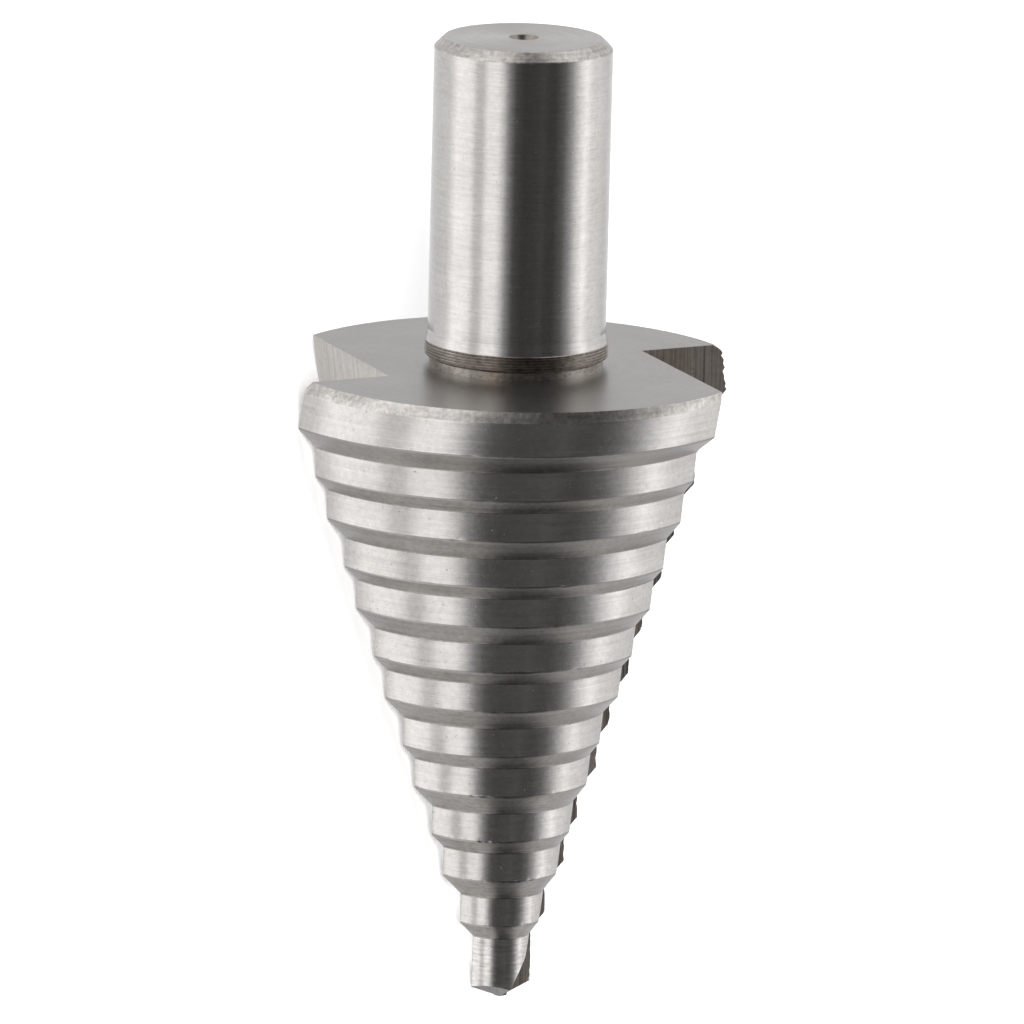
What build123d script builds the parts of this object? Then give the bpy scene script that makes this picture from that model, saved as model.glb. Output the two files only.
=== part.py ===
from build123d import *
import math
import os

# A step drill, one piece of ground tool steel. All sizes are in mm.
# It is drawn upright first: its own axis is Z, the flange top is Z = 0, the shank goes up and
# the point goes down. At the end it is laid on one of its flutes, as it comes to rest on a bench.

# The steps. Diameters go up by the two rises in turn: 5, 7, 10, 12, 15 and so on to 35.
SMALLEST_DIAMETER = 5.0
DIAMETER_RISES = (2.0, 3.0)
STEP_COUNT = 13
PILOT_UNDERSIZE = 0.2       # the pilot is ground a little under its step
LAND_HEIGHT = 2.13          # the round wall of each step, above its 45 degree chamfer
PILOT_LAND_HEIGHT = 3.8
FLANGE_HEIGHT = 3.28        # the largest step, with the broken edge at its top

# The flange's top edge is broken, and its wall leans out a little towards the first chamfer.
RIM_BREAK_HEIGHT = 0.55
RIM_BREAK_WIDTH = 0.6
FLANGE_LEAN = 0.45

# The two cutting lobes. Each land is a circle set off the drill's axis, so that it falls away
# behind its cutting edge. On the small steps the offset is a share of the radius, and the
# flange is nearer to round: from its lower edge to its top edge the offset runs out.
CUTTING_EDGE_ANGLE = 29.5   # where the first row of cutting edges is, seen from the shank end
RELIEF_OFFSET = 1.4
RELIEF_SHARE = 0.17
RELIEF_PHASE = -72.0        # the offset's direction, counted from the cutting edges
FLANGE_RELIEF_OFFSET = 0.87
WALL_TOP_RELIEF_OFFSET = 0.22
RIM_RELIEF_OFFSET = -0.2

# The two V flutes. The root runs in from the flange top to the point in a shallow bow.
CUTTING_FACE_ANGLE = 27.0
FLUTE_ANGLE = 94.5
FLUTE_ROOT_ANGLE = 31.0
FLUTE_ROOT_AT_FLANGE = 10.5
FLUTE_ROOT_AT_POINT = 0.4
FLUTE_ROOT_BOW = 0.9
FLUTE_ROOT_RADIUS = 0.2
FLUTE_OVERRUN = 1.0         # how far the cutter goes on past the flange top and the point

# The point: a flank behind each lip, and a gash that takes the heel off behind the flank.
POINT_ANGLE = 135.0
LIP_RELIEF_ANGLE = 23.0
GASH_STEEPNESS = 63.0
GASH_TURN = 158.0           # the way the gash rises, counted from the lip

# The shank and its root
SHANK_DIAMETER = 12.7
SHANK_LENGTH = 23.6
SHANK_END_CHAMFER = 0.7
ROOT_BAND_DIAMETER = 13.1
ROOT_BAND_TOP = 2.0
ROOT_FILLET_WIDTH = 0.4
ROOT_FILLET_HEIGHT = 0.8
GROOVE_COUNT = 5
GROOVE_DEPTH = 0.11
SHANK_EMBED = 1.0           # how far the shank's own solid reaches into the flange before they join

# The centre hole in the shank's end
CENTRE_HOLE_MOUTH = 2.0
CENTRE_HOLE_ANGLE = 60.0
CENTRE_BORE_DIAMETER = 0.8
CENTRE_BORE_DEPTH = 2.2


def step_diameters():
    """Diameters from the pilot's step up to the flange."""
    diameters = [SMALLEST_DIAMETER]
    for rise_number in range(STEP_COUNT - 1):
        rise = DIAMETER_RISES[rise_number % len(DIAMETER_RISES)]
        diameters.append(diameters[-1] + rise)
    diameters[0] -= PILOT_UNDERSIZE
    return diameters


def direction(angle):
    """Unit vector across the axis at an angle in degrees."""
    return Vector(math.cos(math.radians(angle)), math.sin(math.radians(angle)), 0)


RADII = [diameter / 2 for diameter in reversed(step_diameters())]
FLANGE_RADIUS = RADII[0]
PILOT_RADIUS = RADII[-1]
POINT_HEIGHT = PILOT_RADIUS / math.tan(math.radians(POINT_ANGLE / 2))
OFFSET_ANGLE = CUTTING_EDGE_ANGLE + RELIEF_PHASE


def land_bottoms():
    """Height of the lower edge of each land, from the flange down to the pilot."""
    heights = [-FLANGE_HEIGHT]
    for larger, smaller in zip(RADII, RADII[1:]):
        heights.append(heights[-1] - (larger - smaller) - LAND_HEIGHT)
    heights[-1] += LAND_HEIGHT - PILOT_LAND_HEIGHT
    return heights


LAND_BOTTOMS = land_bottoms()
PILOT_END = LAND_BOTTOMS[-1]
POINT_Z = PILOT_END - POINT_HEIGHT


def land_circle(edge_radius, z, offset=None):
    """Centre and radius of the land's circle through the cutting edge at edge_radius."""
    if offset is None:
        offset = min(RELIEF_OFFSET, RELIEF_SHARE * edge_radius)
    phase = math.radians(RELIEF_PHASE)
    radius = math.sqrt(edge_radius**2 + offset**2 - 2 * edge_radius * offset * math.cos(phase))
    return direction(OFFSET_ANGLE) * offset + Vector(0, 0, z), radius


def band(upper, lower):
    """Solid between two land circles, each given as centre and radius."""
    (top_centre, top_radius), (low_centre, low_radius) = upper, lower
    height = top_centre.Z - low_centre.Z
    same_axis = (top_centre - low_centre - Vector(0, 0, height)).length < 1e-6
    if same_axis and abs(top_radius - low_radius) < 1e-6:
        return Solid.make_cylinder(low_radius, height, Plane(low_centre))
    if same_axis:
        return Solid.make_cone(low_radius, top_radius, height, Plane(low_centre))
    rims = [Wire.make_circle(radius, Plane(centre)) for centre, radius in (lower, upper)]
    return Solid.make_loft(rims, ruled=True)


def lobe_stack():
    """Full discs and chamfers of one lobe, before it is cut to its half of the drill."""
    wall_radius = FLANGE_RADIUS - FLANGE_LEAN
    rim = land_circle(wall_radius - RIM_BREAK_WIDTH, 0, RIM_RELIEF_OFFSET)
    wall_top = land_circle(wall_radius, -RIM_BREAK_HEIGHT, WALL_TOP_RELIEF_OFFSET)
    land_foot = land_circle(FLANGE_RADIUS, LAND_BOTTOMS[0], FLANGE_RELIEF_OFFSET)
    bands = [band(rim, wall_top), band(wall_top, land_foot)]
    for number in range(1, STEP_COUNT):
        larger, smaller = RADII[number - 1], RADII[number]
        chamfer_bottom = LAND_BOTTOMS[number - 1] - (larger - smaller)
        is_pilot = number == STEP_COUNT - 1
        land_head = land_circle(smaller, chamfer_bottom)
        bands.append(band(land_foot, land_head))
        land_foot = land_circle(smaller, POINT_Z if is_pilot else LAND_BOTTOMS[number])
        bands.append(band(land_head, land_foot))
    return bands[0].fuse(*bands[1:])


def half_space(plane, reach):
    """Block on the positive side of a plane."""
    return plane.location * Solid.make_box(2 * reach, 2 * reach, reach, Plane((-reach, -reach, 0)))


def lobe():
    """One lobe: half of the stack, with the flank and the gash ground on its point."""
    reach = 3 * FLANGE_RADIUS - POINT_Z
    middle_of_flute = (CUTTING_EDGE_ANGLE + CUTTING_FACE_ANGLE - FLUTE_ANGLE / 2) / 2
    behind = direction(middle_of_flute + 90)
    half = lobe_stack() & half_space(Plane((0, 0, 0), z_dir=behind), reach)
    lip = direction(CUTTING_EDGE_ANGLE) + Vector(0, 0, POINT_HEIGHT / PILOT_RADIUS)
    lip_relief = Vector(0, 0, math.tan(math.radians(LIP_RELIEF_ANGLE)))
    flank = (direction(CUTTING_EDGE_ANGLE + 90) + lip_relief).cross(lip)
    gash_lean = math.radians(GASH_STEEPNESS)
    gash = direction(CUTTING_EDGE_ANGLE + GASH_TURN) * math.sin(gash_lean)
    gash = gash - Vector(0, 0, math.cos(gash_lean))
    for below in (flank, gash):
        half = half - half_space(Plane((0, 0, POINT_Z), z_dir=below), reach)
    return half


def flute_root(z):
    """The flute's root at one height, on its bowed way in from the flange to the point."""
    share = z / POINT_Z
    radius = FLUTE_ROOT_AT_FLANGE + (FLUTE_ROOT_AT_POINT - FLUTE_ROOT_AT_FLANGE) * share
    radius += 4 * FLUTE_ROOT_BOW * share * (1 - share)
    return direction(FLUTE_ROOT_ANGLE) * radius + Vector(0, 0, z)


def flute():
    """V cutter's path: one wall is the cutting face, the other clears the lobe in front."""
    top, bottom = FLUTE_OVERRUN, POINT_Z - FLUTE_OVERRUN
    reach = 2 * FLANGE_RADIUS
    outside = direction(FLUTE_ROOT_ANGLE) * reach
    first, middle, last = flute_root(top), flute_root(POINT_Z / 2), flute_root(bottom)
    root = Edge.make_three_point_arc(first, middle, last)
    rest = Wire.make_polygon([last, last + outside, first + outside, first], close=False)
    outline = Face(Wire([root] + rest.edges()))
    wall = direction(CUTTING_FACE_ANGLE - FLUTE_ANGLE)
    swept = Solid.extrude(outline, wall * reach)
    in_front = (last - first).cross(direction(CUTTING_FACE_ANGLE))
    cut = swept & half_space(Plane(first, z_dir=in_front), 2 * reach)
    deepest = cut.edges().sort_by_distance(middle)[0]
    return cut.fillet(FLUTE_ROOT_RADIUS, [deepest])


def shank():
    """Shank, grooved band and root fillet, turned as one profile."""
    band_radius = ROOT_BAND_DIAMETER / 2
    shank_radius = SHANK_DIAMETER / 2
    foot_radius = band_radius + ROOT_FILLET_WIDTH
    fillet_radius = (ROOT_FILLET_WIDTH**2 + ROOT_FILLET_HEIGHT**2) / (2 * ROOT_FILLET_WIDTH)
    pitch = (ROOT_BAND_TOP - ROOT_FILLET_HEIGHT) / GROOVE_COUNT
    outline = [(band_radius, ROOT_FILLET_HEIGHT)]
    for number in range(GROOVE_COUNT):
        groove_foot = ROOT_FILLET_HEIGHT + number * pitch
        outline.append((band_radius - GROOVE_DEPTH, groove_foot + pitch / 2))
        outline.append((band_radius, groove_foot + pitch))
    outline.append((shank_radius, ROOT_BAND_TOP))
    outline.append((shank_radius, SHANK_LENGTH - SHANK_END_CHAMFER))
    outline.append((shank_radius - SHANK_END_CHAMFER, SHANK_LENGTH))
    outline.append((0, SHANK_LENGTH))
    outline.append((0, -SHANK_EMBED))
    outline.append((foot_radius, -SHANK_EMBED))
    outline.append((foot_radius, 0))
    with BuildSketch(Plane.XZ) as profile:
        with BuildLine():
            Polyline(*outline)
            RadiusArc((foot_radius, 0), (band_radius, ROOT_FILLET_HEIGHT), fillet_radius)
        make_face()
    return revolve(profile.sketch, Axis.Z).solid()


def centre_hole():
    """60 degree centre hole in the shank's end, with its small bore."""
    mouth = CENTRE_HOLE_MOUTH / 2
    bore = CENTRE_BORE_DIAMETER / 2
    cone_depth = (mouth - bore) / math.tan(math.radians(CENTRE_HOLE_ANGLE / 2))
    cone = Solid.make_cone(bore, mouth, cone_depth, Plane((0, 0, SHANK_LENGTH - cone_depth)))
    bore_foot = Plane((0, 0, SHANK_LENGTH - CENTRE_BORE_DEPTH))
    return cone.fuse(Solid.make_cylinder(bore, CENTRE_BORE_DEPTH, bore_foot))


def upright_drill():
    first_lobe = lobe()
    body = first_lobe + first_lobe.rotate(Axis.Z, 180)
    first_flute = flute()
    body = body - first_flute - first_flute.rotate(Axis.Z, 180)
    return body + shank() - centre_hole()


def laid_down(drill):
    """Lying on one flute: on its two corners at the flange's lower edge, and on the pilot's end."""
    flute_side = direction(FLUTE_ROOT_ANGLE + 180)
    corners = [Vector(vertex) for vertex in drill.vertices()]
    feet = [corner for corner in corners if abs(corner.Z - LAND_BOTTOMS[0]) < LAND_HEIGHT / 100]
    first_foot, second_foot = [foot for foot in feet if foot.dot(flute_side) > 0]
    down = (first_foot - second_foot).cross(Vector(0, 0, 1)).normalized()
    down = down if down.dot(flute_side) > 0 else -down
    rises = []
    for corner in corners:
        if corner.Z < PILOT_END + PILOT_RADIUS:
            gap = first_foot - corner
            rises.append(math.degrees(math.atan2(gap.dot(down), gap.Z)))
    drill = drill.rotate(Axis.Z, 90 - math.degrees(math.atan2(down.Y, down.X)))
    drill = drill.rotate(Axis.X, min(rises) - 90)
    box = drill.bounding_box()
    return drill.translate(-Vector(box.center().X, box.center().Y, box.min.Z))


os.makedirs("parts", exist_ok=True)
step_drill = laid_down(upright_drill())
step_drill = step_drill.solid() if isinstance(step_drill, Compound) else step_drill
step_drill.label = "step_drill"
export_step(step_drill, "parts/step_drill.step")
box = step_drill.bounding_box()
print("step drill: size", box.size, "volume", round(step_drill.volume, 1))
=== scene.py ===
# %% [markdown]
# # A step drill, lying on a pale table
# The real object is one bar of high-speed steel that is turned, milled and ground: a plain round
# shank, a flange, thirteen steps that get smaller towards a small point, and two V flutes.
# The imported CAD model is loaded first. It fixes the size and the place of everything, so each
# piece made below has to come out where that model is.

# %% Load the frame
import math
import bmesh
import bpy
from mathutils import Matrix, Vector, noise


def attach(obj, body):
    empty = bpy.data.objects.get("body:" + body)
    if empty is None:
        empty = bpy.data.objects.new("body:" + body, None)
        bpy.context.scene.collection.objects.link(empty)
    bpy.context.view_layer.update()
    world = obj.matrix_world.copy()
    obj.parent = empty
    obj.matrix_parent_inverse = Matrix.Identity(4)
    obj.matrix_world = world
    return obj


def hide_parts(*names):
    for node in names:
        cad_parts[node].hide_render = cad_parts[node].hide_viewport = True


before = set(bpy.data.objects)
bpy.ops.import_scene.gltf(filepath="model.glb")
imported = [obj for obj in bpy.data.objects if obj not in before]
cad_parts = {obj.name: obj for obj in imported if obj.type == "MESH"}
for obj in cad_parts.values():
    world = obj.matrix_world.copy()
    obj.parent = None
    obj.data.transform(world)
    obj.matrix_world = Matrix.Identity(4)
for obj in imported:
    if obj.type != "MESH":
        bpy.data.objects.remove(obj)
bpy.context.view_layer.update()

# %% [markdown]
# ## The drill's own axis
# A lathe hand thinks of a drill along its axis, so the pieces are modelled upright in
# millimetres: Z is the axis, the flange top is Z = 0, the shank goes up and the point goes down.
# One matrix then lays the finished piece on the table. The drill rests on one of its flutes: on
# the flute's two corners at the flange and on the pilot's end, so its axis rises to the shank.

# %% Lay the drill down
MM = 0.001
ROLL_BEFORE_LYING = -86.1891
AXIS_RISE = 16.5963
FLANGE_TOP_PLACE = Vector((0, 10.2368, 15.0009))


def lying_down():
    """Matrix from the upright drill in millimetres to the drill on the table in metres."""
    roll = Matrix.Rotation(math.radians(ROLL_BEFORE_LYING), 4, "Z")
    lay = Matrix.Rotation(math.radians(AXIS_RISE - 90), 4, "X")
    return Matrix.Scale(MM, 4) @ Matrix.Translation(FLANGE_TOP_PLACE) @ lay @ roll


LYING = lying_down()
print("The axis points to", [round(value, 3) for value in LYING.to_3x3() @ Vector((0, 0, 1000))])

# %% [markdown]
# ## The sizes of the steps
# The diameters rise by 2 mm and 3 mm in turn. Each step is a round land and a 45 degree chamfer.
# A land isn't quite round about the axis: its circle is set off a little to one side, so that
# it falls away behind the cutting edge and doesn't rub in the hole.

# %% Sizes in millimetres
STEP_RADII = [17.5, 16, 15, 13.5, 12.5, 11, 10, 8.5, 7.5, 6, 5, 3.5, 2.4]
FLANGE_HEIGHT = 3.28
LAND_HEIGHT = 2.13
PILOT_HEIGHT = 3.8
EDGE_ANGLE = 29.5
RELIEF_TURN = 72
RELIEF_ANGLE = EDGE_ANGLE - RELIEF_TURN
RELIEF_OFFSET = 1.4
RELIEF_SHARE = 0.17
POINT_HALF_ANGLE = 67.5


def direction(angle):
    """Unit vector across the axis."""
    return Vector((math.cos(math.radians(angle)), math.sin(math.radians(angle)), 0))


def land_circle(edge_radius, z, offset=None):
    """Centre, with its height, and radius of the circle through the cutting edge."""
    if offset is None:
        offset = min(RELIEF_OFFSET, RELIEF_SHARE * edge_radius)
    turn = math.cos(math.radians(EDGE_ANGLE - RELIEF_ANGLE))
    radius = math.sqrt(edge_radius**2 + offset**2 - 2 * edge_radius * offset * turn)
    return direction(RELIEF_ANGLE) * offset + Vector((0, 0, z)), radius


# %% [markdown]
# ## The outline of the steps, corner by corner
# Going down the drill, the outline turns a corner at each end of each land. A ground edge is
# never perfectly sharp: light catches a narrow rounding there. So each corner gets a few close
# sections that round it, and one more on each side that keeps the flat surface flat in the
# smooth shading. Outer corners are crisp, and the inner ones copy the wheel's worn edge.

# %% Corners and their roundings
OUTER_ROUNDING = 0.09
RIM_ROUNDING = 0.24
INNER_ROUNDING = 0.06
SUPPORT = 0.04
ROUNDING_SHARES = (0, 0.33, 0.67)
LAND_CELL = 0.3
PAST_POINT = 0.5
RIM_TOP = (16.45, 0, -0.2)
RIM_FOOT = (17.05, -0.55, 0.22)
FLANGE_OFFSET = 0.87


def step_corners():
    """Circle at each corner of the outline, and the rounding it gets, from the top down."""
    corners = [(land_circle(*RIM_TOP), 0), (land_circle(*RIM_FOOT), RIM_ROUNDING)]
    z = -FLANGE_HEIGHT
    corners.append((land_circle(STEP_RADII[0], z, FLANGE_OFFSET), OUTER_ROUNDING))
    for larger, smaller in zip(STEP_RADII, STEP_RADII[1:]):
        z -= larger - smaller
        corners.append((land_circle(smaller, z), INNER_ROUNDING))
        z -= LAND_HEIGHT
        corners.append((land_circle(smaller, z), OUTER_ROUNDING))
    z += LAND_HEIGHT - PILOT_HEIGHT
    point_z = z - STEP_RADII[-1] / math.tan(math.radians(POINT_HALF_ANGLE))
    corners[-1] = (land_circle(STEP_RADII[-1], point_z - PAST_POINT), 0)
    return corners, point_z


CORNERS, POINT_Z = step_corners()


def mix(first, second, share):
    """Section between two sections, each a circle's centre and radius."""
    return first[0].lerp(second[0], share), first[1] + (second[1] - first[1]) * share


def gap(first, second):
    """Distance between two sections along the outline."""
    return math.hypot(second[0].z - first[0].z, second[1] - first[1])


def surface_below(number):
    """What the surface under a corner is."""
    if number == 0:
        return "rim"
    if number == len(CORNERS) - 2:
        return "pilot"
    return "land" if number % 2 else "chamfer"


def rounded_outline():
    """Sections down the drill, each with the kind of surface below it."""
    sections = []
    for number, (corner, rounding) in enumerate(CORNERS):
        kind = surface_below(number)
        if not rounding:
            sections.append((corner, kind))
            continue
        before, after = CORNERS[number - 1][0], CORNERS[number + 1][0]
        start = mix(corner, before, rounding / gap(corner, before))
        end = mix(corner, after, rounding / gap(corner, after))
        edge = {OUTER_ROUNDING: "edge", RIM_ROUNDING: "rim"}.get(rounding, "chamfer")
        sections.append((mix(start, before, SUPPORT / gap(start, before)), surface_below(number - 1)))
        for share in ROUNDING_SHARES:
            sections.append((mix(mix(start, corner, share), mix(corner, end, share), share), edge))
        sections.append((end, kind))
        held = mix(end, after, SUPPORT / gap(end, after))
        sections.append((held, kind))
        if kind in ("land", "pilot"):
            stretch = mix(after, held, 1.5 * INNER_ROUNDING / gap(after, held))
            cells = round(gap(held, stretch) / LAND_CELL)
            sections += [(mix(held, stretch, cell / cells), kind) for cell in range(1, cells)]
    return sections


SECTIONS = rounded_outline()
print(len(CORNERS), "corners,", len(SECTIONS), "sections, point at", round(POINT_Z, 2), "mm")

# %% [markdown]
# ## The flutes
# A V cutter mills two straight flutes. One wall of the V is the cutting face, the other clears
# the back of the lobe in front. The root of the V runs in from the flange to the point in a
# shallow bow. So the drill's section at any height is two arcs and two V notches.

# %% Flute sizes and one section
FLUTE_ROOT_ANGLE = 31.0
CUTTING_FACE_ANGLE = 27.0
FLUTE_ANGLE = 94.5
CLEARING_WALL_ANGLE = CUTTING_FACE_ANGLE - FLUTE_ANGLE
ROOT_AT_FLANGE, ROOT_AT_POINT, ROOT_BOW = 10.5, 0.4, 0.9
ARC_CELLS, FACE_CELLS, WALL_CELLS = 120, 5, 7


def flute_root(z):
    """Root of the first flute at one height."""
    share = z / POINT_Z
    radius = ROOT_AT_FLANGE + (ROOT_AT_POINT - ROOT_AT_FLANGE) * share
    radius += 4 * ROOT_BOW * share * (1 - share)
    return direction(FLUTE_ROOT_ANGLE) * radius + Vector((0, 0, z))


def meet(start, heading, section):
    """Where a line across the axis leaves a section's circle."""
    centre, radius = section
    away = start - centre
    along = away.dot(heading)
    return start + heading * (-along + math.sqrt(along**2 - away.length_squared + radius**2))


def half_section(section):
    """Half of the drill's outline at one height: cutting face, land, and the next flute's wall."""
    centre, radius = section
    root = flute_root(centre.z)
    next_root = Vector((-root.x, -root.y, root.z))
    lead = meet(root, direction(CUTTING_FACE_ANGLE), section)
    trail = meet(next_root, direction(CLEARING_WALL_ANGLE + 180), section)
    first = math.atan2(lead.y - centre.y, lead.x - centre.x)
    last = math.atan2(trail.y - centre.y, trail.x - centre.x)
    points = [root.lerp(lead, cell / FACE_CELLS) for cell in range(FACE_CELLS)]
    for cell in range(ARC_CELLS):
        angle = first + (last - first) * cell / ARC_CELLS
        points.append(centre + Vector((math.cos(angle), math.sin(angle), 0)) * radius)
    points += [trail.lerp(next_root, cell / WALL_CELLS) for cell in range(WALL_CELLS)]
    return points


print("One section has", 2 * len(half_section(SECTIONS[0][0])), "points")

# %% [markdown]
# ## Small damage on the edges
# The photo shows tiny nicks along the lower edges of the lands and a ragged burr that the mill
# left on the cutting edges. They are at most a few tenths of a millimetre, but they break the
# edge's highlight, so they are put into the shape itself. Smooth noise picks the places.

# %% Nicks and burrs
NICK_DEPTHS = {"edge": 0.09, "rim": 0.07}
NICK_NOISE, FINE_NICK_NOISE, NICK_THRESHOLD = 0.9, 2.4, 0.22
BURR_SIZES = (0.42, 0.08)
BURR_NOISE = 3.7


def nick(point, depth):
    """How far an edge is knocked in at one place. Most places have none."""
    rough = noise.noise(point * NICK_NOISE) + 0.5 * noise.noise(point * FINE_NICK_NOISE)
    return depth * min(1.0, max(0.0, rough - NICK_THRESHOLD))


def worn(point, kind, column, burr):
    """The point after the nicks on the step edges and the burr on the cutting edges."""
    outward = Vector((point.x, point.y, 0)).normalized()
    if kind in NICK_DEPTHS:
        point = point - outward * nick(point, NICK_DEPTHS[kind])
    if column == FACE_CELLS:
        ragged = noise.noise(Vector((0.3, 0, point.z * BURR_NOISE))) + 0.1
        size = burr if point.z > -FLANGE_HEIGHT else 0.5 * burr
        point = point - outward * size * max(0.0, ragged)
    return point


# %% [markdown]
# ## The stepped body
# The first section is drawn at the flange top. Its rim is then extruded down the drill from
# section to section, as one would in edit mode, and each new rim is set on its own outline.
# Every new face is told what it is, so that lands, chamfers and flutes can be finished apart.

# %% Extrude the body
FINISHES = ["land", "edge", "chamfer", "rim", "cutting_face", "clearing_wall", "flange_top",
            "point_flank", "foot", "grooved_band", "shank", "end_chamfer", "shank_end", "centre_hole",
            "pilot"]


def whole_section(section, kind):
    """Both halves of the outline, worn at the edges. The first lobe has the larger burr."""
    points = []
    for side, burr in zip((1, -1), BURR_SIZES):
        for column, point in enumerate(half_section(section)):
            turned = Vector((side * point.x, side * point.y, point.z))
            points.append(worn(turned, kind, column, burr))
    return points


def finish_of(column, kind):
    """What kind of surface a cell of the outline is."""
    column %= FACE_CELLS + ARC_CELLS + WALL_CELLS
    if column < FACE_CELLS:
        return "cutting_face"
    if column >= FACE_CELLS + ARC_CELLS:
        return "clearing_wall"
    return kind


def extrude_to(mesh, rim, points, kind):
    """Extrude the rim, set it on the next section and name the new faces' finish."""
    sides = [mesh.edges.get((rim[i - 1], rim[i])) for i in range(len(rim))]
    made = bmesh.ops.extrude_edge_only(mesh, edges=sides)["geom"]
    fresh = {item for item in made if isinstance(item, bmesh.types.BMVert)}
    next_rim = []
    for vertex, place in zip(rim, points):
        below = next(e.other_vert(vertex) for e in vertex.link_edges if e.other_vert(vertex) in fresh)
        below.co = place
        next_rim.append(below)
    for column in range(len(rim)):
        side = mesh.edges.get((next_rim[column], next_rim[(column + 1) % len(rim)]))
        side.link_faces[0].material_index = FINISHES.index(finish_of(column, kind))
    return next_rim


def stepped_body():
    """The flange, the steps and the pilot as one closed mesh, still without its point."""
    mesh = bmesh.new()
    top = [mesh.verts.new(point) for point in whole_section(SECTIONS[0][0], SECTIONS[0][1])]
    for number in range(len(top)):
        mesh.edges.new((top[number - 1], top[number]))
    rim = top
    for (_, kind), (section, next_kind) in zip(SECTIONS, SECTIONS[1:]):
        rim = extrude_to(mesh, rim, whole_section(section, next_kind), kind)
    mesh.faces.new(top).material_index = FINISHES.index("flange_top")
    mesh.faces.new(rim).material_index = FINISHES.index("point_flank")
    bmesh.ops.recalc_face_normals(mesh, faces=mesh.faces)
    return mesh


def as_object(mesh, name):
    """Turn a bmesh into an object in the scene."""
    data = bpy.data.meshes.new(name)
    mesh.to_mesh(data)
    mesh.free()
    for finish in FINISHES:
        data.materials.append(bpy.data.materials.get(finish) or bpy.data.materials.new(finish))
    thing = bpy.data.objects.new(name, data)
    bpy.context.scene.collection.objects.link(thing)
    return thing


body = as_object(stepped_body(), "stepped_body")
print("Body:", len(body.data.polygons), "faces")

# %% [markdown]
# ## Grinding the point
# Each lobe of the pilot ends in a flank that rises behind its lip, and a steep gash takes off
# the heel behind the flank. A grinder makes both with flat passes, so here four flat-sided
# blocks are cut away: a flank and a gash for each lobe. Some roundings make these cuts fail and
# empty the body, so the faces are counted afterwards and the script stops if they are too few.

# %% Cut the point
POINT_SLOPE = 1 / math.tan(math.radians(POINT_HALF_ANGLE))
LIP_RELIEF = 23.0
GASH_STEEPNESS, GASH_TURN = 63.0, 158.0
LOBE_SPLIT = 4.6
BLOCK_SIZE, BLOCK_OVERLAP = 16, 0.02
FACES_AFTER_CUTS, FACES_AFTER_WELD = 50000, 60000


def grinding_block(half_turn, below):
    """Everything under one ground plane, on one lobe's half of the drill."""
    mesh = bmesh.new()
    bmesh.ops.create_cube(mesh, size=BLOCK_SIZE, matrix=Matrix.Translation((0, 0, POINT_Z)))
    behind = direction(LOBE_SPLIT + 90)
    point = Vector((0, 0, POINT_Z))
    for normal, place in ((-behind, point - behind * BLOCK_OVERLAP), (-below, point)):
        everything = mesh.verts[:] + mesh.edges[:] + mesh.faces[:]
        bmesh.ops.bisect_plane(mesh, geom=everything, plane_co=place, plane_no=normal, clear_outer=True)
        open_sides = [edge for edge in mesh.edges if edge.is_boundary]
        bmesh.ops.holes_fill(mesh, edges=open_sides)
    bmesh.ops.rotate(mesh, verts=mesh.verts, matrix=Matrix.Rotation(half_turn, 3, "Z"))
    bmesh.ops.recalc_face_normals(mesh, faces=mesh.faces)
    for face in mesh.faces:
        face.material_index = FINISHES.index("point_flank")
    return as_object(mesh, "grinding_block")


def ground_planes():
    """The flank's and the gash's plane for the first lobe, as the way out of the steel."""
    lip = direction(EDGE_ANGLE) + Vector((0, 0, POINT_SLOPE))
    rising = direction(EDGE_ANGLE + 90) + Vector((0, 0, math.tan(math.radians(LIP_RELIEF))))
    steep = math.radians(GASH_STEEPNESS)
    gash = direction(EDGE_ANGLE + GASH_TURN) * math.sin(steep) - Vector((0, 0, math.cos(steep)))
    return rising.cross(lip).normalized(), gash


def combine(thing, other, operation):
    """Cut another piece out of this one, or weld it on, and keep the result as its mesh."""
    work = thing.modifiers.new("work", "BOOLEAN")
    work.operation, work.solver, work.object = operation, "EXACT", other
    shown = thing.evaluated_get(bpy.context.evaluated_depsgraph_get())
    result = bpy.data.meshes.new_from_object(shown)
    thing.modifiers.clear()
    thing.data = result
    bpy.data.objects.remove(other)


for half_turn in (0, math.pi):
    for plane in ground_planes():
        combine(body, grinding_block(half_turn, plane), "DIFFERENCE")
assert len(body.data.polygons) > FACES_AFTER_CUTS, "the cuts emptied the body"
print("Body with its point:", len(body.data.polygons), "faces")

# %% [markdown]
# ## Turning the shank
# The shank is a turned part, so its profile is spun about the axis. From the flange up it has a
# narrow neck, a band with five fine grooves where the turning tool ran out, the plain shank,
# an end chamfer, and the centre hole that held the bar between centres.

# %% Spin the shank
SHANK_RADIUS, SHANK_LENGTH, END_CHAMFER = 6.35, 23.6, 0.7
BAND_RADIUS, BAND_TOP, BAND_EDGE = 6.55, 1.8, 0.05
TAPER_HEIGHT = 0.75
NECK_RADIUS, NECK_HEIGHT, FOOT_HEIGHT = 6.2, 0.55, 0.78
GROOVES, GROOVE_DEPTH = 5, 0.085
GROOVE_SHAPE = ((0.2, 0), (0.35, 0.8), (0.5, 1), (0.65, 0.8), (0.8, 0))
HOLE_RADIUS, BORE_RADIUS, BORE_DEPTH = 1.0, 0.4, 2.2
HOLE_HALF_ANGLE = 30
SHANK_EMBED = 0.5
SPIN_STEPS = 192


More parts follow.
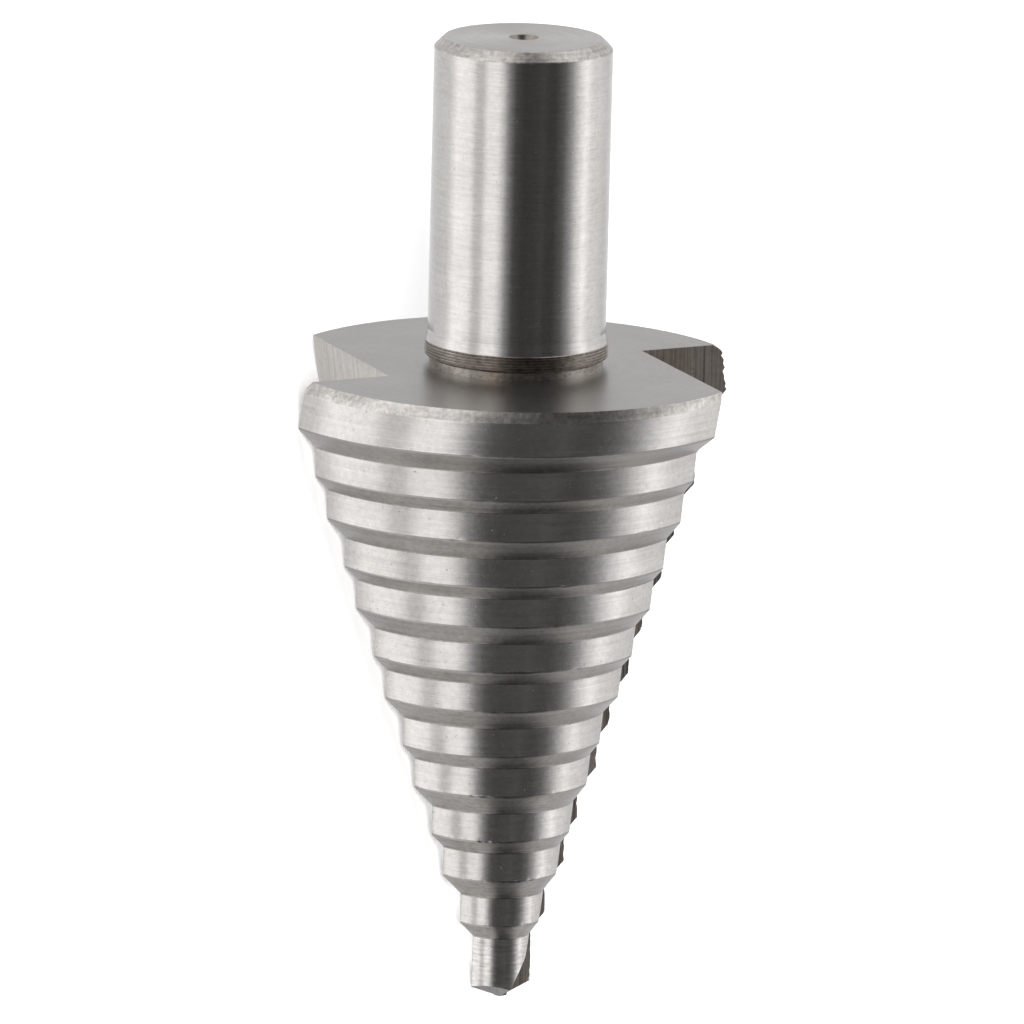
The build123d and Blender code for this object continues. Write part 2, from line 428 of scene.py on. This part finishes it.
def shank_profile():
    """Radius and height of each point of the profile, and the finish of the stretch above it."""
    profile = [(0, -SHANK_EMBED, "foot"), (NECK_RADIUS, -SHANK_EMBED, "foot"), (NECK_RADIUS, 0, "foot"),
               (NECK_RADIUS, NECK_HEIGHT, "foot"), (BAND_RADIUS - 0.04, FOOT_HEIGHT - 0.04, "foot"),
               (BAND_RADIUS, FOOT_HEIGHT, "grooved_band")]
    pitch = (BAND_TOP - FOOT_HEIGHT) / GROOVES
    for groove in range(GROOVES):
        z = FOOT_HEIGHT + pitch * groove
        for share, depth in GROOVE_SHAPE:
            profile.append((BAND_RADIUS - GROOVE_DEPTH * depth, z + pitch * share, "grooved_band"))
    profile += [(BAND_RADIUS, BAND_TOP - BAND_EDGE, "grooved_band"),
                (BAND_RADIUS - BAND_EDGE, BAND_TOP, "shank"),
                (SHANK_RADIUS, BAND_TOP + TAPER_HEIGHT, "shank"),
                (SHANK_RADIUS, BAND_TOP + TAPER_HEIGHT + 0.06, "shank")]
    chamfer_start, rim = SHANK_LENGTH - END_CHAMFER, SHANK_RADIUS - END_CHAMFER
    for radius, z, finish in ((SHANK_RADIUS, chamfer_start - 0.12, "shank"),
                              (SHANK_RADIUS, chamfer_start - 0.06, "end_chamfer"),
                              (SHANK_RADIUS - 0.015, chamfer_start - 0.01, "end_chamfer"),
                              (SHANK_RADIUS - 0.05, chamfer_start + 0.04, "end_chamfer"),
                              (SHANK_RADIUS - 0.1, chamfer_start + 0.09, "end_chamfer"),
                              (rim + 0.1, SHANK_LENGTH - 0.11, "end_chamfer"),
                              (rim + 0.05, SHANK_LENGTH - 0.06, "end_chamfer"),
                              (rim - 0.01, SHANK_LENGTH - 0.015, "shank_end"),
                              (rim - 0.08, SHANK_LENGTH, "shank_end"),
                              (rim - 0.14, SHANK_LENGTH, "shank_end"),
                              (HOLE_RADIUS + 0.2, SHANK_LENGTH, "shank_end"),
                              (HOLE_RADIUS + 0.1, SHANK_LENGTH, "centre_hole")):
        profile.append((radius, z, finish))
    cone_depth = (HOLE_RADIUS - BORE_RADIUS) / math.tan(math.radians(HOLE_HALF_ANGLE))
    profile += [(HOLE_RADIUS + 0.02, SHANK_LENGTH - 0.01, "centre_hole"),
                (HOLE_RADIUS - 0.03, SHANK_LENGTH - 0.07, "centre_hole"),
                (BORE_RADIUS, SHANK_LENGTH - cone_depth, "centre_hole"),
                (BORE_RADIUS, SHANK_LENGTH - BORE_DEPTH, "centre_hole"),
                (0, SHANK_LENGTH - BORE_DEPTH, "centre_hole")]
    return profile


def turned_shank():
    """Spin the profile and close its two poles."""
    mesh = bmesh.new()
    profile = shank_profile()
    points = [mesh.verts.new((radius, 0, z)) for radius, z, _ in profile]
    line = [mesh.edges.new(pair) for pair in zip(points, points[1:])]
    bmesh.ops.spin(mesh, geom=points + line, cent=(0, 0, 0), axis=(0, 0, 1), angle=2 * math.pi,
                   steps=SPIN_STEPS, use_merge=True)
    bmesh.ops.remove_doubles(mesh, verts=mesh.verts, dist=1e-5)
    bmesh.ops.recalc_face_normals(mesh, faces=mesh.faces)
    for face in mesh.faces:
        corners = [(vertex.co.z, math.hypot(vertex.co.x, vertex.co.y)) for vertex in face.verts]
        face.material_index = FINISHES.index(stretch_finish(profile, corners))
    return mesh


def stretch_finish(profile, corners):
    """The finish of the stretch of the profile that a spun face comes from."""
    def off(point, corner):
        return math.hypot(point[0] - corner[1], point[1] - corner[0])
    best = min(range(len(profile) - 1), key=lambda i: sum(
        min(off(profile[i], corner), off(profile[i + 1], corner)) for corner in corners))
    return profile[best][2]


combine(body, as_object(turned_shank(), "turned_shank"), "UNION")
assert len(body.data.polygons) > FACES_AFTER_WELD, "the shank's weld lost the body"
print("Body with its shank:", len(body.data.polygons), "faces")

# %% [markdown]
# ## Directions of the tool marks
# Every tool leaves lines, and steel glints across them. The UV map holds these directions in
# millimetres: U runs across the lines and V along them. On turned and ground surfaces the lines
# run round the drill, and in the flutes they follow the mill along the axis.

# %% Lay out the tool marks
MARKS_MAP = "tool_marks"
ROUND_SCALE = 10
SHARP_ANGLE = 28
FLAT_FINISHES = ("flange_top", "point_flank")
FLUTE_WALLS = {"cutting_face": CUTTING_FACE_ANGLE, "clearing_wall": CLEARING_WALL_ANGLE}


def marks_at(place, finish, near):
    """U and V of one corner of a face. Near is the angle that the corner's own is kept close to."""
    radius = math.hypot(place.x, place.y)
    if finish in FLAT_FINISHES:
        return place.x, place.y
    if finish in FLUTE_WALLS:
        return place.dot(direction(FLUTE_WALLS[finish])), place.z
    angle = math.atan2(place.y, place.x) if radius > 1e-4 else near
    angle += 2 * math.pi * round((near - angle) / (2 * math.pi))
    across = radius if finish in ("shank_end", "centre_hole") else place.z
    return across, angle * ROUND_SCALE


def lay_out_marks(data):
    """Fill the map of tool marks."""
    marks = data.uv_layers.new(name=MARKS_MAP)
    for face in data.polygons:
        finish = FINISHES[face.material_index]
        near = math.atan2(face.center.y, face.center.x)
        for loop in face.loop_indices:
            place = data.vertices[data.loops[loop].vertex_index].co
            marks.data[loop].uv = marks_at(place, finish, near)


lay_out_marks(body.data)
body.data.shade_smooth()
body.data.set_sharp_from_angle(angle=math.radians(SHARP_ANGLE))
body.data.transform(LYING)
body.name = "step_drill_body"
body.data.update()
print("Finished piece:", [round(size, 4) for size in body.dimensions])

# %% [markdown]
# ## Steel
# All of it is one bright steel, but each tool leaves its own finish. One function makes them
# all: fine lines from noise that is squeezed across them, soft blotches where the polish
# differs, small dark specks, and a faint brown where the heat or the oil has tinted it. The
# chamfers, the flange top, the point's flanks and the grooved band also get darker colours
# as painted shade.

# %% Steel materials
CLOUD_SCALE, MOTTLE_SCALE, GRAIN_SCALE = 260.0, 2600.0, 3600.0
DUST_COLOUR = (0.95, 0.94, 0.92)
SPECK_SHADE = 0.25


def add(tree, kind, inputs=None, **settings):
    """Add a node with its settings, and set or link its inputs."""
    node = tree.nodes.new(kind)
    for name, value in settings.items():
        setattr(node, name, value)
    for name, value in (inputs or {}).items():
        if isinstance(value, bpy.types.NodeSocket):
            tree.links.new(value, node.inputs[name])
        else:
            node.inputs[name].default_value = value
    return node


def noise_on(tree, source, scale, detail=2.0, stretch=(1, 1, 1), roughness=0.5):
    """Noise on coordinates that are stretched first."""
    placed = add(tree, "ShaderNodeMapping", {"Vector": source, "Scale": stretch})
    inputs = {"Vector": placed.outputs[0], "Scale": scale, "Detail": detail, "Roughness": roughness}
    return add(tree, "ShaderNodeTexNoise", inputs).outputs["Fac"]


def spread(tree, value, low, high, to_low=0.0, to_high=1.0):
    """Stretch a range of a value to another range."""
    inputs = {"Value": value, "From Min": low, "From Max": high, "To Min": to_low, "To Max": to_high}
    return add(tree, "ShaderNodeMapRange", inputs).outputs[0]


def blend_colours(tree, share, first, second):
    """Mix two colours, each a socket or red, green and blue."""
    mixed = add(tree, "ShaderNodeMix", {"Factor": share}, data_type="RGBA")
    for socket, colour in ((mixed.inputs[6], first), (mixed.inputs[7], second)):
        if isinstance(colour, bpy.types.NodeSocket):
            tree.links.new(colour, socket)
        else:
            socket.default_value = (*colour, 1)
    return mixed.outputs[2]


def scaled(tree, colour, factor):
    """A colour made lighter or darker by a factor."""
    return add(tree, "ShaderNodeVectorMath", {0: colour, "Scale": factor}, operation="SCALE").outputs[0]


def steel(name, colour, tint, roughness, anisotropy, pitch, relief, length=9.0, lines=0.12,
          mottled=0.3, speck=0.5, dust=0.0, haze=0.0):
    """A finish: its colour, darker on some faces as painted shade, its tint, and the pitch, length and
    relief of its lines in mm.
    """
    material = bpy.data.materials[name]
    material.use_nodes = True
    tree = material.node_tree
    tree.nodes.clear()
    marks = add(tree, "ShaderNodeUVMap", uv_map=MARKS_MAP).outputs[0]
    place = add(tree, "ShaderNodeTexCoord").outputs["Object"]
    if name == "flange_top":
        middle = add(tree, "ShaderNodeVectorMath", {0: marks}, operation="LENGTH").outputs["Value"]
        marks = add(tree, "ShaderNodeCombineXYZ", {"X": middle}).outputs[0]
    fine = noise_on(tree, marks, 1.0, 2.0, (1 / pitch, 1 / length, 1))
    broad = noise_on(tree, marks, 1.0, 2.0, (0.3 / pitch, 0.5 / length, 1))
    cloud = noise_on(tree, place, CLOUD_SCALE, 3.0)
    mottle = noise_on(tree, place, MOTTLE_SCALE, 4.0, roughness=0.65)
    grains = noise_on(tree, place, GRAIN_SCALE, 2.0)
    tinted = blend_colours(tree, spread(tree, cloud, 0.35, 0.65), colour, tint)
    lined = add(tree, "ShaderNodeMix", {"Factor": 0.45, 2: fine, 3: broad}).outputs[0]
    streaked = scaled(tree, tinted, spread(tree, lined, 0.36, 0.64, 1 - lines, 1 + lines))
    patchy = scaled(tree, streaked, spread(tree, mottle, 0.3, 0.7, 1 - 0.3 * mottled, 1 + 0.3 * mottled))
    specks = spread(tree, grains, 0.69, 0.75, 0.0, speck)
    specked = blend_colours(tree, specks, patchy, [part * SPECK_SHADE for part in tint])
    dusty = spread(tree, grains, 0.262, 0.23, 0.0, dust)
    specked = blend_colours(tree, dusty, specked, DUST_COLOUR)
    rough = spread(tree, mottle, 0.3, 0.7, roughness * 0.93, roughness * 1.1)
    rough = add(tree, "ShaderNodeMath", {0: rough, 1: dusty}, operation="MAXIMUM").outputs[0]
    height = add(tree, "ShaderNodeMix", {"Factor": 0.5 * mottled, 2: lined, 3: mottle}).outputs[0]
    bump = add(tree, "ShaderNodeBump", {"Height": height, "Distance": relief * MM, "Strength": 1.0})
    tangent = add(tree, "ShaderNodeTangent", direction_type="UV_MAP", uv_map=MARKS_MAP)
    surface = {"Base Color": specked, "Metallic": 1.0 - haze, "Roughness": rough, "Normal": bump.outputs[0],
               "Anisotropic": anisotropy, "Tangent": tangent.outputs[0]}
    shader = add(tree, "ShaderNodeBsdfPrincipled", surface)
    tree.links.new(shader.outputs[0], add(tree, "ShaderNodeOutputMaterial").inputs[0])


BRIGHT, WARM, BROWN = (0.5, 0.485, 0.47), (0.42, 0.395, 0.37), (0.3, 0.255, 0.22)
steel("land", (0.48, 0.466, 0.453), (0.44, 0.424, 0.409), roughness=0.19, anisotropy=0.75, pitch=0.1,
      relief=0.0018, length=5.0, lines=0.08, mottled=0.3, dust=0.6, haze=0.006)
steel("pilot", (0.5, 0.486, 0.472), (0.46, 0.444, 0.428), roughness=0.2, anisotropy=0.6, pitch=0.18,
      relief=0.01, length=6.0, lines=0.2, mottled=0.3, dust=0.6, haze=0.006)
steel("edge", (0.26, 0.25, 0.24), (0.29, 0.276, 0.262), roughness=0.35, anisotropy=0.3, pitch=0.15,
      relief=0.002)
# The chamfers' colour is darker than the lands' steel: painted shade on top of their ground finish.
steel("chamfer", (0.285, 0.272, 0.26), (0.25, 0.235, 0.22), roughness=0.3, anisotropy=0.4, pitch=0.16,
      relief=0.002, lines=0.16, mottled=0.6)
steel("rim", (0.52, 0.5, 0.48), WARM, roughness=0.36, anisotropy=0.2, pitch=0.25, relief=0.009,
      length=3.0, mottled=1.0)
steel("cutting_face", (0.32, 0.288, 0.265), BROWN, roughness=0.36, anisotropy=0.5, pitch=0.1,
      relief=0.006, length=30.0, lines=0.55)
steel("clearing_wall", (0.5, 0.48, 0.46), (0.44, 0.415, 0.39), roughness=0.4, anisotropy=0.4,
      pitch=0.13, relief=0.005, length=30.0, lines=0.22)
# The flange top's darker colour is painted shade.
steel("flange_top", (0.335, 0.323, 0.31), (0.31, 0.297, 0.283), roughness=0.32, anisotropy=0.0,
      pitch=0.2, relief=0.0012, lines=0.07, mottled=0.35)
# The point's flanks get a dark colour as painted shade.
steel("point_flank", (0.17, 0.162, 0.155), (0.15, 0.14, 0.13), roughness=0.36, anisotropy=0.3,
      pitch=0.15, relief=0.003, length=4.0, lines=0.3)
steel("foot", (0.46, 0.44, 0.415), BROWN, roughness=0.28, anisotropy=0.4, pitch=0.15, relief=0.004,
      mottled=1.0)
# The band's dark colour is painted shade in its grooves, on top of its own brown tint.
steel("grooved_band", (0.3, 0.272, 0.248), (0.24, 0.21, 0.18), roughness=0.3, anisotropy=0.5,
      pitch=0.12, relief=0.003, mottled=1.0)
steel("shank", BRIGHT, (0.46, 0.445, 0.43), roughness=0.16, anisotropy=0.75, pitch=0.07, relief=0.0016,
      length=2.5, lines=0.08, mottled=0.25, speck=0.3, dust=0.5)
steel("end_chamfer", (0.44, 0.425, 0.41), WARM, roughness=0.32, anisotropy=0.3, pitch=0.15,
      relief=0.005, mottled=1.0)
steel("shank_end", (0.4, 0.39, 0.375), (0.36, 0.347, 0.332), roughness=0.3, anisotropy=0.5, pitch=0.2,
      relief=0.0012, lines=0.1, mottled=0.25)
steel("centre_hole", (0.2, 0.185, 0.175), BROWN, roughness=0.35, anisotropy=0.3, pitch=0.15,
      relief=0.002)
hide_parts("step_drill")
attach(body, "root")
print("Finishes:", ", ".join(FINISHES))

# %% [markdown]
# ## Light
# Bright metal shows its surroundings more than its own colour. So the light is a studio that
# is drawn round the drill's axis: a dark card beside the camera, bright panels on both sides
# and soft grey behind. A dark spot past the point is what the chamfers mirror in the middle.

# %% Studio
TO_CAMERA = (LYING.to_3x3() @ Vector((0, -1, 0))).normalized()
TO_RIGHT = (LYING.to_3x3() @ Vector((1, 0, 0))).normalized()
TO_POINT = (LYING.to_3x3() @ Vector((0.24, 0, -1))).normalized()
STUDIO = [(-180, 0.9), (-130, 1.0), (-106, 1.15), (-92, 1.75), (-80, 1.7), (-68, 1.6), (-60, 1.0),
          (-52, 1.0), (-44, 1.6), (-31, 1.6), (-24, 1.1), (-17, 0.42), (-8, 0.11), (4, 0.07),
          (20, 0.08), (28, 0.1), (34, 0.08), (44, 0.075), (57, 0.17), (68, 0.5), (79, 1.2), (91, 1.8),
          (104, 1.3), (119, 1.2), (140, 0.95), (180, 0.9)]
SPOT_DARK, SPOT_EDGE, SPOT_REACH = 0.2, 0.985, 0.93


def light_from(tree, way):
    """Brightness of the studio in one direction."""
    parts = [add(tree, "ShaderNodeVectorMath", {0: way, 1: axis}, operation="DOT_PRODUCT").outputs["Value"]
             for axis in (TO_RIGHT, TO_CAMERA, TO_POINT)]
    turn = add(tree, "ShaderNodeMath", {0: parts[0], 1: parts[1]}, operation="ARCTAN2").outputs[0]
    ramp = add(tree, "ShaderNodeValToRGB", {"Fac": spread(tree, turn, -math.pi, math.pi)})
    stops = ramp.color_ramp.elements
    for number, (angle, value) in enumerate(STUDIO):
        place = (angle + 180) / 360
        stop = stops[number] if number < 2 else stops.new(place)
        stop.position = place
        stop.color = (value, value, value, 1)
    spot = spread(tree, parts[2], SPOT_REACH, SPOT_EDGE, 1.0, SPOT_DARK)
    return scaled(tree, ramp.outputs[0], spot)


def studio_world():
    """A world whose brightness depends on the direction round the drill's axis."""
    world = bpy.data.worlds.new("studio")
    bpy.context.scene.world = world
    world.use_nodes = True
    tree = world.node_tree
    tree.nodes.clear()
    way = add(tree, "ShaderNodeTexCoord").outputs["Generated"]
    light = add(tree, "ShaderNodeBackground", {"Color": light_from(tree, way), "Strength": 1.0})
    tree.links.new(light.outputs[0], add(tree, "ShaderNodeOutputWorld").inputs[0])


studio_world()
print("Studio stops:", len(STUDIO))

# %% [markdown]
# ## The table
# A wide, plain pale floor. The steel mirrors the studio alone, because a pale floor would wash
# out the dark and bright bands that show how round the steps are.

# %% Pale floor
FLOOR_SIZE = 8.0


def pale_floor():
    """A matte white floor that the steel doesn't mirror."""
    mesh = bmesh.new()
    bmesh.ops.create_grid(mesh, x_segments=1, y_segments=1, size=FLOOR_SIZE / 2)
    data = bpy.data.meshes.new("floor")
    mesh.to_mesh(data)
    mesh.free()
    paint = bpy.data.materials.new("floor_paint")
    paint.use_nodes = True
    shader = paint.node_tree.nodes["Principled BSDF"]
    shader.inputs["Base Color"].default_value = (0.9, 0.9, 0.9, 1)
    shader.inputs["Roughness"].default_value = 0.9
    shader.inputs["Specular IOR Level"].default_value = 0.1
    data.materials.append(paint)
    floor = bpy.data.objects.new("floor", data)
    floor.visible_glossy = False
    bpy.context.scene.collection.objects.link(floor)
    return floor


floor = pale_floor()
print("Floor:", FLOOR_SIZE, "m wide")

# %% [markdown]
# ## Camera
# The photograph was taken from a long way off, a little above the flange, with the drill's
# point down. The camera is placed against the upright drill and then laid down with it.

# %% Place the camera
CAMERA_PLACE = Vector((0, -878.06, 185.5))
LOOK_AT = Vector((-0.013, 0, -10.857))
CAMERA_ROLL = 1.428
FOCAL_PIXELS, PICTURE_PIXELS, SENSOR_WIDTH = 12604.4, 1024, 36
NEAREST, FARTHEST = 0.05, 20


def photo_camera():
    """The camera at the photograph's place, turned with the drill."""
    back = (CAMERA_PLACE - LOOK_AT).normalized()
    right = Vector((0, 0, 1)).cross(back).normalized()
    up = back.cross(right)
    rows = Matrix((right, up, back)).transposed().to_4x4()
    upright = Matrix.Translation(CAMERA_PLACE) @ rows @ Matrix.Rotation(math.radians(CAMERA_ROLL), 4, "Z")
    laid = LYING @ upright
    lens = bpy.data.cameras.new("camera")
    lens.sensor_width = SENSOR_WIDTH
    lens.lens = FOCAL_PIXELS / PICTURE_PIXELS * SENSOR_WIDTH
    lens.clip_start, lens.clip_end = NEAREST, FARTHEST
    camera = bpy.data.objects.new("camera", lens)
    camera.matrix_world = Matrix.Translation(laid.translation) @ laid.to_quaternion().to_matrix().to_4x4()
    bpy.context.scene.collection.objects.link(camera)
    bpy.context.scene.camera = camera
    return camera


camera = photo_camera()
bpy.context.scene.view_settings.view_transform = "Standard"
print("Camera at", [round(value, 3) for value in camera.location])

# %% [markdown]
# ## Light for the table
# The studio gives the floor its even light. A wide soft sun stands beside the camera as well:
# seen from there, the drill hides its own shadow. The metal doesn't mirror the sun.

# %% Sun beside the camera
SUN_STRENGTH, SUN_SPREAD = 22, 18


def sun_from(place, target):
    """A wide soft sun that shines from one place to another."""
    lamp = bpy.data.lights.new("sun", "SUN")
    lamp.energy, lamp.angle = SUN_STRENGTH, math.radians(SUN_SPREAD)
    sun = bpy.data.objects.new("sun", lamp)
    sun.rotation_euler = (place - target).to_track_quat("Z", "Y").to_euler()
    sun.visible_glossy = False
    bpy.context.scene.collection.objects.link(sun)


sun_from(camera.location, LYING @ LOOK_AT)
print("The sun shines from the camera's side")
